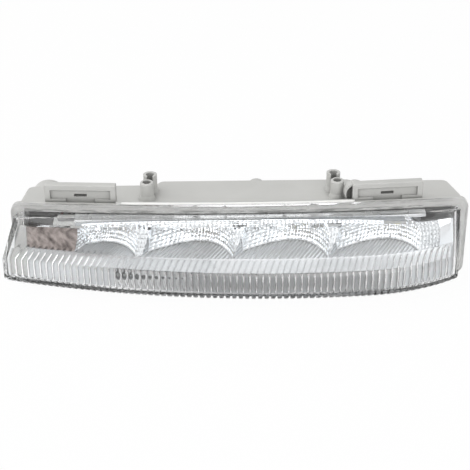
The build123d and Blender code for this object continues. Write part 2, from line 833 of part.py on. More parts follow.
# Wires: supply from the pins to the driver board, and on to the light board
wire_r = wire_d / 2
rail_y = parts_y + wire_r
for i, side in enumerate((-1, 1)):
    with BuildPart() as wire:
        start_x = turret_x + side * pin_gap / 2
        run_z = turret_z - 8.0 + 3.0 * i
        with BuildLine():
            path = FilletPolyline(
                (start_x, pin_front_y, turret_z),
                (start_x, rail_y, turret_z),
                (start_x, rail_y, run_z),
                (driver_left_x + 3.0, rail_y, run_z),
                radius=1.0,
            )
        with BuildSketch(Plane(path @ 0, z_dir=path % 0)):
            Circle(wire_r)
        sweep()
    wire.part.label = f"supply_wire_{i + 1}"
    export_step(wire.part, f"parts/supply_wire_{i + 1}.step")

for i in range(2):
    with BuildPart() as wire:
        start_x = wire_hole_x - 1.5 + 3.0 * i
        run_z = wire_hole_z + 1.5 - 3.0 * i
        with BuildLine():
            path = FilletPolyline(
                (start_x, -10.8, ceiling_z),
                (start_x, -10.8, run_z),
                (start_x, rail_y, run_z),
                (driver_left_x + 3.0, rail_y, run_z),
                radius=wire_bend_r,
            )
        with BuildSketch(Plane(path @ 0, z_dir=path % 0)):
            Circle(wire_r)
        sweep()
    wire.part.label = f"led_wire_{i + 1}"
    export_step(wire.part, f"parts/led_wire_{i + 1}.step")

# Screws, one node for each kind
with BuildPart() as reflector_screws:
    with Locations(*[(x, shelf_screw_y, sink_top_z) for x in shelf_screw_x]):
        add(screw(6.0))
reflector_screws.part.label = "reflector_screws"
export_step(reflector_screws.part, "parts/reflector_screws.step")

with BuildPart() as sink_screws:
    with Locations(*facing_front(sink_screw_spots, sink_leg_y)):
        add(screw(5.0))
sink_screws.part.label = "sink_screws"
export_step(sink_screws.part, "parts/sink_screws.step")

with BuildPart() as carrier_screws:
    with Locations(*facing_front(carrier_screw_spots, carrier_y)):
        add(screw(8.0))
carrier_screws.part.label = "carrier_screws"
export_step(carrier_screws.part, "parts/carrier_screws.step")

with BuildPart() as driver_screws:
    with Locations(*[Plane((x, parts_y, z), z_dir=(0, 1, 0)).location for x, z in driver_screw_spots]):
        add(screw(5.0))
driver_screws.part.label = "driver_screws"
export_step(driver_screws.part, "parts/driver_screws.step")
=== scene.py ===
import json
from collections import namedtuple
from functools import lru_cache
from math import asin, cos, radians, sin, sqrt

import bmesh
import bpy
import numpy as np
from mathutils import Matrix, Vector


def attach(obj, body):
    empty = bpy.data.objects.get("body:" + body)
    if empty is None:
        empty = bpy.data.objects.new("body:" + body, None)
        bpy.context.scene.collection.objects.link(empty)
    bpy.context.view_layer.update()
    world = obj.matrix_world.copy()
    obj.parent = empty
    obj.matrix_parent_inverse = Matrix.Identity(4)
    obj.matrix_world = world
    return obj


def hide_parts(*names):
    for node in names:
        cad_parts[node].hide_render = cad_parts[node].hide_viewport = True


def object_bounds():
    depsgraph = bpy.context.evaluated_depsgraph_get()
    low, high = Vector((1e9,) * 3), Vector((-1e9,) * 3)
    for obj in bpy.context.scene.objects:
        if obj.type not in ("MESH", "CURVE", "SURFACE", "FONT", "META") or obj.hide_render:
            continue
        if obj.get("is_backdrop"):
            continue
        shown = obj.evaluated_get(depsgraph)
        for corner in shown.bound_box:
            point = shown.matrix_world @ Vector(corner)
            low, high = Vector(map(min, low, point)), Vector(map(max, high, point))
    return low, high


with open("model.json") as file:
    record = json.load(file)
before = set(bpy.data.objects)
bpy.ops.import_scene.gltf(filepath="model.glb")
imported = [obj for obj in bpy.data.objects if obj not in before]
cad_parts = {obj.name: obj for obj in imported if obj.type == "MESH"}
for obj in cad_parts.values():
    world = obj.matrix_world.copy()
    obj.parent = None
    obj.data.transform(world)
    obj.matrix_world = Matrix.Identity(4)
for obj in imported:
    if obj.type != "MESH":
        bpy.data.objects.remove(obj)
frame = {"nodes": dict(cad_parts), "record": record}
nodes = frame["nodes"]
cad_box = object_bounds()
mm = 0.001

# Dimensions shared with the part's source, millimetres
rim_left_x, rim_right_x = -119.3, 116.7
rim_top_z, rim_bottom_z = -7.5, -52.0
lip_top_z = -6.5
rim_w = 4.0
rim_corner_r = 5.0
rim_nose_x = -2.0
rim_rear_y = -10.4
rim_bow_r = 1200.0
flange_back = 1.8
flange_front = 3.8
lens_top_z = -11.5
edge_z = -14.0
fold_z = -34.0
lens_bottom_z = -48.0
lens_wall = 2.5
roof_inner_z = -14.0
edge_inner_z = edge_z - 1.8
bottom_inner_z = lens_bottom_z + lens_wall
bevel = 2.2
flute_count = 70
flute_h = 0.7
flute_top_z = -28.0
flute_lean = 2.0
cell_pitch = 48.3
cell_yaw = 25.0
cell_starts = (9.5, 0.0, 0.0, 0.0)
cell_count = len(cell_starts)
focal = 6.6
led_first_x = -65.9
led_y = -14.1
divider_yaw = 28.0
divider_x, divider_y = -101.9, -32.0
ceiling_z = -17.3
floor_z = -28.6
plate_inset = 3.8
plate_bottom_z = -34.0
reflector_left_x, reflector_right_x = -110.8, 108.2
board_front_y = -16.4

Level = namedtuple("Level", "nose_x nose_y main_r shoulder_x shoulder_r left_x right_x")
face = Level(21.0, -40.6, 490.0, 66.0, 100.0, -124.5, 111.5)
edge = Level(-5.0, -24.2, 800.0, 68.0, 240.0, -117.6, 112.0)
roof = Level(-15.0, -18.0, 1900.0, 68.0, 480.0, -117.3, 112.0)

# Fine detail: sizes in millimetres, shares from 0 to 1 and counts of points
notch_h = 2.6
notch_run = 0.6
notch_behind_y = -15.0
flute_fade = (flute_top_z - 2.2, flute_top_z + 0.4)
# painted shade on the lens: how dark the lines in its flute valleys are and where they stop, and the dark
# band round the upper ends of the flutes at the left
valley_painted_shade, beside_valley_painted_shade = 0.7, 0.4
valley_end = 0.6
tip_band = 0.15
tips_from_x, tips_run = -60.0, 25.0
wall_swell = 0.32
floor_swell = 0.42
end_swell = 0.5
end_facets_w = 11.0
wall_facets, divider_facets, between_facets, end_facets = 27, 5, 3, 6
facet_rows = 6
floor_flutes = 22
facet_steps, flute_steps = 5, 8
facet_vary = 0.8
rail_left_x, rail_right_x = -82.0, 72.0
rail_t = 0.55
rail_swell = 0.3
rail_facets, rail_rows = 70, 3
rail_room = 0.3
rail_off_board = 0.02
bead_left_x, bead_right_x = -62.0, 57.5
bead_run = 3.0
bead_overlap = 0.5
lip_edge = 1.75
bead_sink = 0.03
fill_bottom_z = -44.0
fill_lean = 5.6
fill_back = 0.6
fill_t = 0.5

# Each end of a lens level: points along it and round its corner, the corner's size outside and
# inside, and how soon the lean of the flutes begins
end_steps, turn_steps = 3, 5
lead = end_steps + turn_steps
outer_corner_r, inner_corner_r = 1.2, 2.0
lean_rise = 60


def rim_y(x, offset):
    """Rear face of the rim, moved forward by offset."""
    r = rim_bow_r + offset
    return rim_rear_y + rim_bow_r - sqrt(r * r - (x - rim_nose_x) ** 2)


def front_y(lv, inset, x):
    """Front curve of one lens level, moved into the lens by inset."""
    swing = asin((lv.shoulder_x - lv.nose_x) / lv.main_r)
    cx, cy, r = lv.nose_x, lv.nose_y + lv.main_r, lv.main_r - inset
    if x > cx + r * sin(swing):
        cx += (lv.main_r - lv.shoulder_r) * sin(swing)
        cy -= (lv.main_r - lv.shoulder_r) * cos(swing)
        r = lv.shoulder_r - inset
    return cy - sqrt(r * r - (x - cx) ** 2)


# Mesh helpers


def bend(a, corner, b, reach, steps):
    """Points round a corner between a and b, starting and ending reach away from it."""
    a, corner, b = (np.asarray(p, float) for p in (a, corner, b))
    to_a, to_b = a - corner, b - corner
    len_a, len_b = np.linalg.norm(to_a), np.linalg.norm(to_b)
    start = corner + to_a * (min(reach, 0.45 * len_a) / max(len_a, 1e-9))
    end = corner + to_b * (min(reach, 0.45 * len_b) / max(len_b, 1e-9))
    t = np.linspace(0, 1, steps + 1)[:, None]
    return (1 - t) ** 2 * start + 2 * t * (1 - t) * corner + t**2 * end


def profile(points, reaches, steps=4):
    """A run through points with each inner corner rounded by its reach."""
    rows = [np.asarray(points[0], float)[None]]
    for i in range(1, len(points) - 1):
        rows.append(bend(points[i - 1], points[i], points[i + 1], reaches[i - 1], steps))
    rows.append(np.asarray(points[-1], float)[None])
    return np.concatenate(rows)


def divide(rows, longest):
    """Adds points to the long stretches of a profile; the same count for every column."""
    parts = []
    for i in range(rows.shape[1] - 1):
        span = np.linalg.norm(rows[:, i + 1] - rows[:, i], axis=1).max()
        n = max(1, int(np.ceil(span / longest)))
        for k in range(n):
            parts.append(rows[:, i] + (rows[:, i + 1] - rows[:, i]) * (k / n))
    parts.append(rows[:, -1])
    return np.stack(parts, axis=1)


class Skin:
    """Vertices and faces of one piece, in millimetres."""

    def __init__(self):
        self.points = []
        self.faces = []
        self.marks = {}

    def add(self, points):
        first = len(self.points)
        self.points.extend(np.asarray(points, float).reshape(-1, 3))
        return first

    def grid(self, rows, flip=False):
        """rows[column, row, xyz]; returns the vertex numbers."""
        columns, count = rows.shape[:2]
        ids = self.add(rows) + np.arange(columns * count).reshape(columns, count)
        for a, b, c, d in zip(
            ids[:-1, :-1].ravel(), ids[1:, :-1].ravel(), ids[1:, 1:].ravel(), ids[:-1, 1:].ravel()
        ):
            self.faces.append((d, c, b, a) if flip else (a, b, c, d))
        return ids

    def ring(self, inner, outer, centre, half, flip=False):
        """Fills between two closed loops of vertex numbers that go round the same way."""
        spots = [self.around(loop, centre, half) for loop in (inner, outer)]
        loops = []
        for loop, spot in zip((inner, outer), spots):
            start = int(np.argmin(spot))
            loops.append([int(v) for v in np.roll(loop, -start)])
            spot[:] = np.roll(spot, -start)
        i, j = 0, 0
        n, m = len(loops[0]), len(loops[1])
        while i < n or j < m:
            step_in = spots[0][i + 1] if i + 1 < n else 4.0 + spots[0][0]
            step_out = spots[1][j + 1] if j + 1 < m else 4.0 + spots[1][0]
            if j >= m or (i < n and step_in <= step_out):
                tri = (loops[0][i % n], loops[0][(i + 1) % n], loops[1][j % m])
                i += 1
            else:
                tri = (loops[0][i % n], loops[1][(j + 1) % m], loops[1][j % m])
                j += 1
            self.faces.append(tri[::-1] if flip else tri)

    def around(self, loop, centre, half):
        """Place of each vertex along a square frame round centre, from 0 to 4, in X and Z."""
        p = (np.array([self.points[v] for v in loop])[:, [0, 2]] - centre) / half
        p = p / np.abs(p).max(axis=1)[:, None]
        x, z = p[:, 0], p[:, 1]
        on_side = 0.999999
        sides = (z >= on_side, x >= on_side, z <= -on_side)
        places = ((x + 1) / 2, 1 + (1 - z) / 2, 2 + (1 - x) / 2)
        return np.select(sides, places, 3 + (z + 1) / 2) % 4.0

    def piece(self, name, crease):
        mesh = bpy.data.meshes.new(name)
        mesh.from_pydata([tuple(p) for p in np.array(self.points) * mm], [], self.faces)
        if self.marks:
            marks = np.zeros(len(self.points), np.float32)
            marks[list(self.marks)] = list(self.marks.values())
            mesh.attributes.new("mark", "FLOAT", "POINT").data.foreach_set("value", marks)
        work = bmesh.new()
        work.from_mesh(mesh)
        bmesh.ops.remove_doubles(work, verts=work.verts, dist=0.001 * mm)
        bmesh.ops.dissolve_degenerate(work, edges=work.edges, dist=0.0001 * mm)
        bmesh.ops.recalc_face_normals(work, faces=work.faces)
        work.to_mesh(mesh)
        work.free()
        obj = bpy.data.objects.new(name, mesh)
        bpy.context.scene.collection.objects.link(obj)
        for polygon in mesh.polygons:
            polygon.use_smooth = True
        mesh.set_sharp_from_angle(angle=radians(crease))
        return obj


# Lens


def lens_loop(lv, inset, offset, xs_share, corner, lean=0.0):
    """Plan of one lens level: left end, rounded corner, front, rounded corner, right end."""
    back_l = rim_left_x + rim_w + inset
    back_r = rim_right_x - rim_w - inset
    left, right = lv.left_x + inset, lv.right_x - inset
    far_l = np.array((back_l, rim_y(back_l, offset)))
    far_r = np.array((back_r, rim_y(back_r, offset)))
    tip_l = np.array((left, front_y(lv, inset, left)))
    tip_r = np.array((right, front_y(lv, inset, right)))
    xs = left + corner + xs_share * (right - left - 2 * corner)
    if lean:
        xs = xs + lean * np.clip(np.minimum(xs_share, 1 - xs_share) * lean_rise, 0, 1)
    front = np.array([(x, front_y(lv, inset, x)) for x in xs])
    turn_l = bend(far_l, tip_l, front[0], corner, turn_steps)
    turn_r = bend(front[-1], tip_r, far_r, corner, turn_steps)
    side_l = np.linspace(far_l, turn_l[0], end_steps + 1)[:-1]
    side_r = np.linspace(turn_r[-1], far_r, end_steps + 1)[1:]
    return np.concatenate([side_l, turn_l[:-1], front, turn_r[1:], side_r])


def cap_line(loop, inset, offset, z):
    """Where the flat top or bottom behind a loop meets the flange, one point for each column."""
    back_l = rim_left_x + rim_w + inset
    back_r = rim_right_x - rim_w - inset
    x = loop[:, 0]
    share = np.clip((x - x[lead]) / (x[-1 - lead] - x[lead]), 0, 1)
    share[:lead] = 0
    share[-lead:] = 1
    xs = back_l + share * (back_r - back_l)
    return np.array([(v, rim_y(v, offset), z) for v in xs])


def at(loop, z):
    return np.column_stack([loop, np.full(len(loop), z)])


def rim_outline(offset, inset, steps=8):
    """Rounded front view of the rim on its bowed face, clockwise from the top left."""
    r = rim_corner_r - inset
    x0, x1 = rim_left_x + inset, rim_right_x - inset
    z0, z1 = rim_bottom_z + inset, rim_top_z - inset
    left, right, low, high = x0 + r, x1 - r, z0 + r, z1 - r
    straight = 40
    points = []
    for cx, cz, start in ((left, high, 180), (right, high, 90), (right, low, 0), (left, low, -90)):
        for k in range(steps + 1):
            a = radians(start - 90 * k / steps)
            points.append((cx + r * cos(a), cz + r * sin(a)))
        nx, nz = points[-1]
        if start in (180, 0):
            run = (right - nx) if start == 180 else (left - nx)
            points.extend((nx + run * k / straight, nz) for k in range(1, straight))
    return np.array([(x, rim_y(x, offset), z) for x, z in points])


def boundary(ids):
    """Vertex numbers round the open back of a skin: top, right end, bottom, left end."""
    return list(ids[:, 0]) + list(ids[-1, 1:]) + list(ids[-2::-1, -1]) + list(ids[0, -2:0:-1])


def make_lens():
    """Clear lens: a smooth outside, a fluted inside and a flange all round."""
    skin = Skin()
    step = 8
    share = np.linspace(0, 1, flute_count * step + 1)
    insets = ((roof, 0.0), (edge, 0.0), (face, 0.0), (face, 0.0), (face, bevel))
    loops = [lens_loop(lv, inset, flange_front, share, outer_corner_r) for lv, inset in insets]
    heights = [lens_top_z, edge_z, fold_z, lens_bottom_z + bevel, lens_bottom_z]
    rounding = (0.8, 1.0, 1.4, 0.5, 0.5)
    longest = 4.0
    levels = [at(p, z) for p, z in zip(loops, heights)]
    levels.insert(0, cap_line(loops[0], 0.0, flange_front, lens_top_z))
    levels.append(cap_line(loops[-1], bevel, flange_front, lens_bottom_z))
    levels = np.stack(levels, axis=1)
    rows = divide(np.stack([profile(p, rounding) for p in levels]), longest)

    # the lower edge is notched where the flutes meet
    notch = np.zeros(len(rows))
    for k in (0, 1, step - 1):
        notch[lead + k : lead + len(share) : step] = 1.0
    reach = np.clip((lens_bottom_z + bevel + notch_run - rows[..., 2]) / notch_run, 0, 1)
    depth = notch_h * notch[:, None] * reach
    rows[..., 1] += np.where(rows[..., 1] < notch_behind_y, depth, 0)
    outer = skin.grid(rows)

    # fluted inner wall: columns follow the flutes, rows are close where the flutes end
    fine = 10
    share = np.linspace(0, 1, flute_count * fine + 1)
    cross = (np.arange(len(share)) % fine) / fine - 0.5
    swell = flute_h * (1 - 4 * cross**2)
    close_to_z = flute_top_z + 0.5
    z_rows = [bottom_inner_z, -44.0, -40.0, -36.0, fold_z]
    z_rows += list(np.linspace(fold_z, close_to_z, 22)[1:])
    z_rows += list(np.linspace(close_to_z, edge_inner_z, 8)[1:])
    bottom_inset = lens_wall + 1.5
    end_from, end_to = flute_fade
    fluted = slice(lead, lead + len(share))
    grid, grooves = [], []
    for z in z_rows:
        t = max(0.0, (z - fold_z) / (edge_inner_z - fold_z))
        lean = flute_lean * np.clip((z - fold_z) / (flute_top_z - fold_z), 0, 1)
        inset = bottom_inset if z == bottom_inner_z else lens_wall
        low = lens_loop(face, inset, flange_back, share, inner_corner_r, lean)
        high = lens_loop(edge, inset, flange_back, share, inner_corner_r, lean)
        plan = low * (1 - t) + high * t
        run = np.gradient(plan, axis=0)
        normal = np.column_stack([-run[:, 1], run[:, 0]])
        normal /= np.maximum(np.linalg.norm(normal, axis=1), 1e-9)[:, None]
        q = np.clip((z - end_from) / (end_to - end_from), 0, 9)
        height = np.zeros(len(plan))
        height[fluted] = np.maximum(0, swell - flute_h * q * q)
        height[fluted.start] = 0
        height[fluted.stop - 1] = 0
        grid.append(at(plan + normal * height[:, None], z))

        # painted shade: dark lines in the valleys between flutes and, at the left, round their upper ends
        rest = flute_h * q * q - swell
        tips = np.clip((tips_from_x - plan[fluted, 0]) / tips_run, 0, 1)
        groove = np.zeros(len(plan))
        groove[fluted] = np.where((rest >= 0) & (rest < tip_band * flute_h), tips, 0)
        for k, dark in ((0, valley_painted_shade), (1, beside_valley_painted_shade), (fine - 1, beside_valley_painted_shade)):
            groove[lead + k : fluted.stop : fine] = dark * (q < valley_end)
        grooves.append(groove)
    top = lens_loop(roof, lens_wall, flange_back, share, inner_corner_r)
    bottom_cap = cap_line(grid[0], bottom_inset, flange_back, bottom_inner_z)
    top_cap = cap_line(top, lens_wall, flange_back, roof_inner_z)
    grid = [bottom_cap] + grid + [at(top, roof_inner_z), top_cap]
    inner = skin.grid(np.stack(grid[::-1], axis=1), flip=True)
    for row, groove in enumerate(grooves):
        skin.marks.update(zip(inner[:, -2 - row], groove))

    # flange ring between the two
    chamfer = 0.4
    front_ids = skin.add(rim_outline(flange_front, chamfer)) + np.arange(len(rim_outline(0, 0)))
    side_f = skin.add(rim_outline(flange_front - chamfer, 0.0)) + np.arange(len(front_ids))
    side_b = skin.add(rim_outline(flange_back, 0.0)) + np.arange(len(front_ids))
    centre = np.array(((rim_left_x + rim_right_x) / 2, (rim_top_z + rim_bottom_z) / 2))
    half = np.array((rim_right_x - rim_left_x, rim_top_z - rim_bottom_z)) / 2
    skin.ring(boundary(outer), front_ids, centre, half)
    skin.ring(boundary(inner), side_b, centre, half, flip=True)
    count = len(front_ids)
    for a, b in ((front_ids, side_f), (side_f, side_b)):
        for k in range(count):
            n = (k + 1) % count
            skin.faces.append((a[k], a[n], b[n], b[k]))
    return skin.piece("clear_lens", 32)


# Reflector: the CAD solid with its mirror faces made anew, faceted walls and fluted floors

fwd = np.array((-sin(radians(cell_yaw)), -cos(radians(cell_yaw))))
side = np.array((cos(radians(cell_yaw)), -sin(radians(cell_yaw))))
across = np.array((cos(radians(divider_yaw)), -sin(radians(divider_yaw))))
cell_h = ceiling_z - floor_z
bowl_search, divider_search, floor_search = 30.0, 20.0, 60.0


def plate_y(x, z):
    """Front of the reflector, parallel to the sloped lens face."""
    t = (z - fold_z) / (edge_inner_z - fold_z)
    return (1 - t) * front_y(face, plate_inset, x) + t * front_y(edge, plate_inset, x)


def vertex(i):
    """Plan point where the axis of cell i meets its bowl."""
    return np.array((led_first_x + i * cell_pitch, led_y)) - fwd * focal


def divider(i):
    """A plan point of the divider left of cell i."""
    return np.array((divider_x + i * cell_pitch, divider_y)) + across * cell_starts[i]


def bowl(i, s, d):
    """Plan point of bowl i, s to the right of its axis and d below it."""
    return vertex(i) + fwd * ((s * s + d * d) / (4 * focal)) + side * s


def crossing(test, low, high):
    """Where test changes sign between low and high."""
    for _ in range(40):
        mid = (low + high) / 2
        if test(mid) > 0:
            high = mid
        else:
            low = mid
    return (low + high) / 2


@lru_cache(None)
def wall_left(i, d):
    return crossing(lambda s: across @ (bowl(i, s, d) - divider(i)), -bowl_search, 0.0)


@lru_cache(None)
def wall_right(i, d):
    def beyond(s):
        x, y = bowl(i, s, d)
        return plate_y(x, ceiling_z - d) - y

    return crossing(beyond, 0.0, bowl_search)


@lru_cache(None)
def divider_front(i, z):
    """Plan point where the divider left of cell i meets the front of the reflector."""
    along = np.array((-across[1], across[0]))
    foot = divider(i)

    def beyond(k):
        x, y = foot - along * k
        return plate_y(x, z) - y

    return foot - along * crossing(beyond, -divider_search, divider_search)


def pillow(steps):
    """Swell of a facet, from 0 at its edges to 1 in the middle."""
    u = np.linspace(-1, 1, steps + 1)
    return 1 - u * u


def tiled(corner, columns, rows, steps, swell, shape, vary=0.0):
    """Facets over a surface corner(u, v), each swollen out of it by shape and a little unlike the next."""
    u = np.linspace(0, 1, columns * steps + 1)
    v = np.linspace(0, 1, rows * steps + 1)
    base = np.array([[corner(a, b) for b in v] for a in u])
    du = np.gradient(base, axis=0)
    dv = np.gradient(base, axis=1)
    normal = np.cross(du, dv)
    normal /= np.maximum(np.linalg.norm(normal, axis=2), 1e-9)[..., None]
    draw = np.random.default_rng(columns * rows)
    height = 1 + 0.4 * vary * draw.uniform(-1, 1, (columns, rows))
    lean_u, lean_v = vary * draw.uniform(-1, 1, (2, columns, rows))
    spot = np.linspace(-1, 1, steps + 1)
    lift = np.zeros((len(u), len(v)))
    for k in range(len(u)):
        for n in range(len(v)):
            a, b = k % steps, n % steps
            if a and (b or rows == 1):
                i, j = k // steps, min(n // steps, rows - 1)
                lift[k, n] = height[i, j] * shape[a] * (1 + lean_u[i, j] * spot[a])
                if rows > 1:
                    lift[k, n] *= shape[b] * (1 + lean_v[i, j] * spot[b])
    return base + normal * (lift * swell)[..., None]


def facets(corner, columns, rows, swell=wall_swell):
    """Pillowed facets, each a little unlike the next."""
    return tiled(corner, columns, rows, facet_steps, swell, pillow(facet_steps), facet_vary)


def make_reflector():
    """Four cells with faceted walls and fluted floors, in the front plate of the CAD reflector."""
    skin = Skin()

    def wall(i):
        def corner(u, v):
            d = cell_h * v
            left, right = wall_left(i, d), wall_right(i, d)
            return (*bowl(i, left + (right - left) * u, d), ceiling_z - d)

        return corner

    def floor(i):
        left, right = wall_left(i, cell_h), wall_right(i, cell_h)
        tip = side @ (divider_front(i, floor_z) - vertex(i))

        def corner(u, v):
            back = bowl(i, left + (right - left) * u, cell_h)
            start = vertex(i) + side * (tip + (right - tip) * u)

            def beyond(k):
                x, y = start + fwd * k
                return plate_y(x, floor_z) - y

            front = start + fwd * crossing(beyond, 0.0, floor_search)
            return (*(back + (front - back) * v), floor_z)

        return corner

    def step(i):
        def corner(u, v):
            d = cell_h * v
            front, back = divider_front(i, ceiling_z - d), bowl(i, wall_left(i, d), d)
            return (*(front + (back - front) * u), ceiling_z - d)

        return corner

    def panel(left, right, z_low, z_high, columns, rows):
        """A stretch of the front plate between two edges, each an x for a height."""
        grid = []
        for z in np.linspace(z_low, z_high, rows + 1):
            xs = np.linspace(left(z), max(left(z), right(z)), columns + 1)
            grid.append([(x, plate_y(x, z), z) for x in xs])
        skin.grid(np.array(grid), flip=True)

    def faceted(left, right, columns, rows, swell=wall_swell):
        def corner(u, v):
            z = floor_z + (ceiling_z - floor_z) * v
            x = left(z) + max(0.0, right(z) - left(z)) * u
            return (x, plate_y(x, z), z)

        ids = skin.grid(facets(corner, columns, rows, swell))
        skin.marks.update((v, 1.0) for v in ids.ravel())

    def opening_right(i, more=0.0):
        return lambda z: bowl(i, wall_right(i, ceiling_z - z), ceiling_z - z)[0] + more

    def opening_left(i):
        return lambda z: divider_front(i, z)[0]

    for i in range(cell_count):
        skin.grid(facets(wall(i), wall_facets, facet_rows), flip=True)
        skin.grid(tiled(floor(i), floor_flutes, 1, flute_steps, floor_swell, pillow(flute_steps)))
        if i == 0:
            skin.grid(facets(step(i), divider_facets, facet_rows), flip=True)
            continue
        lines = []
        for z in np.linspace(floor_z, ceiling_z, 9):
            back = bowl(i, wall_left(i, ceiling_z - z), ceiling_z - z)
            lines.append([(*p, z) for p in np.linspace(divider_front(i, z), back, 6)])
        skin.grid(np.array(lines))
    last = cell_count - 1
    end_plate = opening_right(last, end_facets_w)

    def left_end(z):
        return reflector_left_x

    def right_end(z):
        return reflector_right_x

    panel(left_end, opening_left(0), floor_z, ceiling_z, 16, 8)
    for i in range(last):
        faceted(opening_right(i), opening_left(i + 1), between_facets, facet_rows)
    faceted(opening_right(last), end_plate, end_facets, facet_rows, end_swell)
    panel(end_plate, right_end, floor_z, ceiling_z, 8, 8)
    panel(left_end, right_end, plate_bottom_z, floor_z, 160, 4)
    keep_solid(skin)
    return skin.piece("reflector_facets", 14)


def keep_solid(skin):
    """Adds the faces of the CAD reflector that the mirror faces don't stand for."""
    mesh = nodes["reflector"].data
    points = np.array([v.co for v in mesh.vertices]) / mm
    first = skin.add(points)
    for polygon in mesh.polygons:
        if not is_mirror(np.array(polygon.center) / mm, np.array(polygon.normal)):
            skin.faces.append(tuple(first + v for v in polygon.vertices))


def is_mirror(spot, normal):
    """Whether a face of the CAD reflector lies on a cell floor, the front plate, a divider or a bowl."""
    off_floor, off_plate, off_divider, off_bowl = 0.02, 0.7, 0.05, 0.12
    x, y, z = spot
    d = ceiling_z - z
    if abs(z - floor_z) < off_floor and normal[2] > 0.9:
        return True
    faces_front = normal[1] < -0.4 and normal[2] > 0.3
    if faces_front and plate_bottom_z < z < ceiling_z and abs(y - plate_y(x, z)) < off_plate:
        return True
    for i in range(cell_count):
        if abs(across @ (spot[:2] - divider(i))) < off_divider and across @ normal[:2] > 0.9:
            return True
        rel = spot[:2] - vertex(i)
        s, a = rel @ side, rel @ fwd
        slope = 2 * sqrt(s * s + d * d + 4 * focal * focal)
        if abs(s * s + d * d - 4 * focal * a) / slope < off_bowl and -0.1 < d < cell_h + 0.1:
            return True
    return False


# Thin pieces: mirror rail, sealant bead and end fill


def under_slope(x, y):
    """Height of the lens's inner face over a plan point between its roof and its edge."""
    back, front = front_y(roof, lens_wall, x), front_y(edge, lens_wall, x)
    return roof_inner_z + (y - back) / (front - back) * (edge_inner_z - roof_inner_z)


def closed(skin, front, back):
    """A thin piece between two grids of the same size."""
    skin.grid(front)
    skin.grid(back, flip=True)
    for side_of in (lambda g: g[0], lambda g: g[-1], lambda g: g[:, 0], lambda g: g[:, -1]):
        skin.grid(np.stack([side_of(front), side_of(back)]))


def make_rail():
    """Faceted mirror strip along the front of the light board."""
    skin = Skin()
    y = board_front_y - rail_t

    def corner(u, v):
        x = rail_left_x + (rail_right_x - rail_left_x) * u
        low, high = ceiling_z, under_slope(x, y) - rail_room
        return (x, y, low + (high - low) * v)

    front = facets(corner, rail_facets, rail_rows, rail_swell)
    back = front.copy()
    back[..., 1] = board_front_y - rail_off_board
    closed(skin, front, back)
    return skin.piece("reflector_rail", 20)


def make_bead():
    """Sealant pressed out over the lip of the housing, between the towers."""
    skin = Skin()
    outside = (
        (0.9, 0.0), (1.2, 0.2), (1.7, 0.2), (2.1, 0.02), (2.2, -0.35), (2.2, -0.75), (1.85, -0.96)
    )
    front, back = [], []
    for x in np.linspace(bead_left_x, bead_right_x, 121):
        to_end = min(x - bead_left_x, bead_right_x - x) + bead_overlap
        t = min(1.0, to_end / bead_run)
        for rows, grow in ((front, t), (back, 0.0)):
            rows.append([])
            for along, rise in outside:
                along = min(along, lip_edge) + grow * max(0.0, along - lip_edge)
                rise = min(rise, -bead_sink) + grow * max(0.0, rise + bead_sink)
                rows[-1].append((x, rim_y(x, along), lip_top_z + rise))
    closed(skin, np.array(front), np.array(back))
    return skin.piece("sealant_bead", 50)


def make_end_fill():
    """Sealant filled into the left end, between the reflector and the lens."""
    skin = Skin()
    front = []
    for z in np.linspace(fill_bottom_z, ceiling_z, 28):
        t = max(0.0, (z - fold_z) / (edge_inner_z - fold_z))
        xs = np.linspace(rim_left_x + fill_lean * t, reflector_left_x, 12)
        front.append([(x, plate_y(x, max(z, fold_z)) + fill_back, z) for x in xs])
    front = np.array(front)
    closed(skin, front, front + np.array((0.0, fill_t, 0.0)))
    return skin.piece("end_fill", 40)


def place(piece, slot, *stands_for):
    """Puts a piece on the root body and in place of the CAD nodes it stands for; slot is not used."""
    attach(piece, "root")
    if stands_for:
        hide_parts(*stands_for)
    return piece


reflector = place(make_reflector(), "reflector_chrome", "reflector")
rail = place(make_rail(), "reflector_chrome")
bead = place(make_bead(), "sealant")
fill = place(make_end_fill(), "sealant")
lens = place(make_lens(), "lens_clear", "lens")


# Materials


def material(name):
    """A new material with its shader and object coordinates."""
    m = bpy.data.materials.new(name)
    m.use_nodes = True
    tree = m.node_tree
    tree.nodes.clear()
    out = tree.nodes.new("ShaderNodeOutputMaterial")
    shader = tree.nodes.new("ShaderNodeBsdfPrincipled")
    tree.links.new(shader.outputs["BSDF"], out.inputs["Surface"])
    place = tree.nodes.new("ShaderNodeTexCoord").outputs["Object"]
    return m, tree, shader, place


def noise(tree, place, scale, detail=4.0, rough=0.5):
    n = tree.nodes.new("ShaderNodeTexNoise")
    n.inputs["Scale"].default_value = scale
    n.inputs["Detail"].default_value = detail
    n.inputs["Roughness"].default_value = rough
    tree.links.new(place, n.inputs["Vector"])
    return n.outputs["Fac"]


def spread(tree, value, low, high, start=0.3, end=0.7):
    """Maps a value between start and end to the range low to high."""
    n = tree.nodes.new("ShaderNodeMapRange")
    n.inputs["From Min"].default_value = start
    n.inputs["From Max"].default_value = end
    n.inputs["To Min"].default_value = low
    n.inputs["To Max"].default_value = high
    tree.links.new(value, n.inputs["Value"])
    return n.outputs["Result"]


def tint(tree, value, dark, light):
    """Colour from dark, for values up to 0.3, to light, for values from 0.7."""
    n = tree.nodes.new("ShaderNodeValToRGB")
    n.color_ramp.elements[0].position = 0.3
    n.color_ramp.elements[1].position = 0.7
    n.color_ramp.elements[0].color = (*dark, 1)
    n.color_ramp.elements[1].color = (*light, 1)
    tree.links.new(value, n.inputs["Fac"])
    return n.outputs["Color"]


def feed(tree, socket, given):
    """Links a socket to another, or sets it to a plain value or colour."""
    if isinstance(given, bpy.types.NodeSocket):
        tree.links.new(given, socket)
    else:
        socket.default_value = given


def calc(tree, operation, a, b):
    n = tree.nodes.new("ShaderNodeMath")
    n.operation = operation
    feed(tree, n.inputs[0], a)
    feed(tree, n.inputs[1], b)
    return n.outputs[0]


